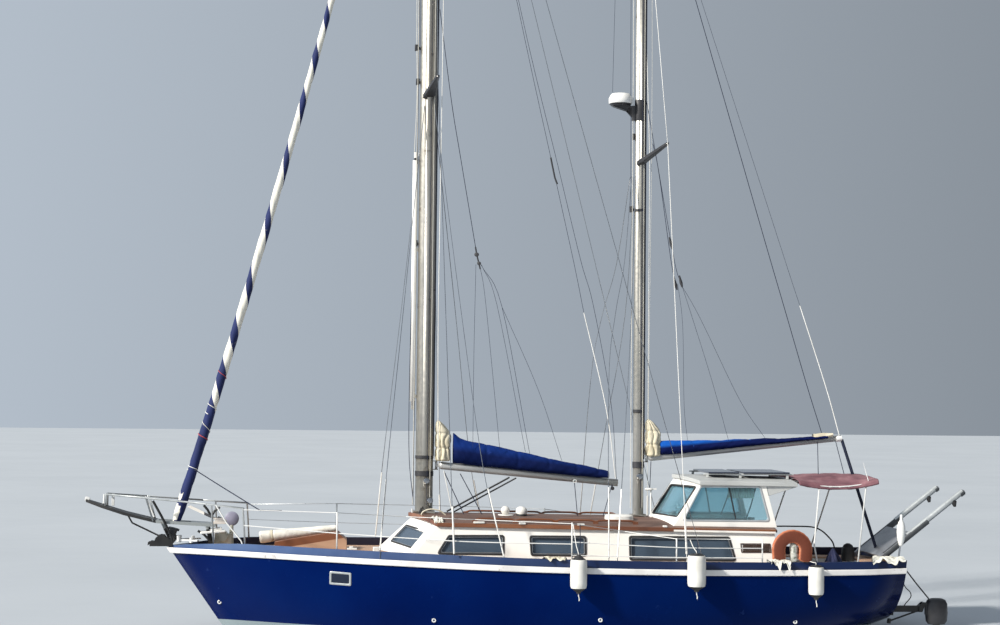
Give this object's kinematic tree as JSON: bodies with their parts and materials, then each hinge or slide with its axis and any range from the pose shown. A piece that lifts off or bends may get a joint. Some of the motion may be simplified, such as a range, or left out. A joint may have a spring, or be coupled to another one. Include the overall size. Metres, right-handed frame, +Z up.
{
  "type": "pilothouse ketch",
  "caption": "Cruising pilothouse ketch with a dark blue hull, sails stowed on both booms, rolled headsail, bowsprit, bimini, stern davits and outboard.",
  "frame": {"origin": "amidships on the waterline, on the centreline", "axes": "+X towards the stern, +Y to starboard, +Z up"},
  "size_m": [13.8959, 3.8708, 17.62],
  "materials": {
    "hull_paint": "dark blue gelcoat",
    "bulwark_paint": "mid blue gelcoat",
    "antifouling": "dark antifouling",
    "white_gelcoat": "white gelcoat",
    "teak": "oiled teak, weathered",
    "varnish": "varnished mahogany",
    "glass": "tinted",
    "spar": "anodised, weathered",
    "steel": "polished stainless",
    "canvas": "blue acrylic canvas",
    "pale_cloth": "white awning cloth",
    "pink_cloth": "faded sun cover",
    "white_metal": "white paint",
    "dark_metal": "black paint",
    "bronze": "bronze",
    "machine": "green engine paint",
    "panel": "dark panel",
    "vinyl": "white vinyl",
    "buoy": "orange-red cover",
    "black_plastic": "black"
  },
  "bodies": {
    "hull": {"hull": "hull_paint", "deck": "teak", "bulwark": "bulwark_paint", "rub_rail": "white_gelcoat", "keel": "antifouling", "skeg": "antifouling", "engine": "machine", "pilothouse_sole": "teak", "trunk_cabin": "white_gelcoat", "trunk_glass_port": "glass", "trunk_glass_starboard": "glass", "trunk_glass_front": "glass", "trunk_roof": "white_gelcoat", "pilothouse": "white_gelcoat", "pilothouse_glass_port": "glass", "pilothouse_glass_starboard": "glass", "pilothouse_glass_front": "glass", "pilothouse_roof": "white_gelcoat", "roof_rails": "white_metal", "roof_panels": "panel", "helm_console": "white_gelcoat", "main_mast": "spar", "mizzen_mast": "spar", "furled_genoa": "canvas", "main_shroud_port": "steel", "main_shroud_starboard": "steel", "backstay_port": "steel", "backstay_starboard": "steel", "mizzen_shroud_port": "steel", "mizzen_shroud_starboard": "steel", "spinnaker_pole": "white_metal", "radar": "vinyl", "bowsprit": "dark_metal", "pulpit": "steel", "guard_rail_port": "steel", "guard_rail_starboard": "steel", "windlass": "white_metal", "anchor": "dark_metal", "foredeck_hatch": "teak", "foredeck_roll": "pale_cloth", "bimini_cloth": "pink_cloth", "bimini_frame": "steel", "davits": "steel", "horseshoe_buoy": "buoy", "fender_1": "vinyl", "fender_2": "vinyl", "fender_3": "vinyl", "outboard_bracket": "dark_metal"},
    "rudder": {"rudder": "antifouling"},
    "propeller": {"propeller": "bronze"},
    "helm": {"helm_wheel": "varnish"},
    "door": {"companion_door": "varnish"},
    "main_boom": {"main_boom": "spar", "main_sail_cover": "canvas"},
    "mizzen_boom": {"mizzen_boom": "spar", "mizzen_sail_cover": "canvas"},
    "outboard": {"outboard": "black_plastic"},
    "outboard_propeller": {"outboard_propeller": "dark_metal"}
  },
  "joints": [
    {"name": "rudder_turn", "type": "hinge", "parent": "hull", "child": "rudder", "pos_m": [4.5, 0, -0.7], "axis": [0, 0, 1], "range_deg": [-35, 35]},
    {"name": "propeller_spin", "type": "hinge", "parent": "hull", "child": "propeller", "pos_m": [3.44, 0, -0.715], "axis": [0.9782, 0, -0.2075], "continuous": true},
    {"name": "helm_turn", "type": "hinge", "parent": "hull", "child": "helm", "pos_m": [2.452, -0.42, 1.43], "axis": [1, 0, 0], "range_deg": [-350, 350]},
    {"name": "door_swing", "type": "hinge", "parent": "hull", "child": "door", "pos_m": [3.722, 0.352, 1.1], "axis": [0, 0, 1], "range_deg": [0, 90]},
    {"name": "main_boom_swing", "type": "hinge", "parent": "hull", "child": "main_boom", "pos_m": [-1.5, 0, 2.57], "axis": [0, 0, 1], "range_deg": [-50, 50]},
    {"name": "mizzen_boom_swing", "type": "hinge", "parent": "hull", "child": "mizzen_boom", "pos_m": [1.886, 0, 2.7], "axis": [0, 0, 1], "range_deg": [-50, 50]},
    {"name": "outboard_tilt", "type": "hinge", "parent": "hull", "child": "outboard", "pos_m": [6.178, -0.8, 0.474], "axis": [0, -1, 0], "range_deg": [0, 60]},
    {"name": "outboard_propeller_spin", "type": "hinge", "parent": "outboard", "child": "outboard_propeller", "pos_m": [6.502, -0.8, -0.45], "axis": [1, 0, 0], "continuous": true}
  ],
  "couplings": [
    {"joint": "helm_turn", "follows": "rudder_turn", "ratio": 10}
  ]
}
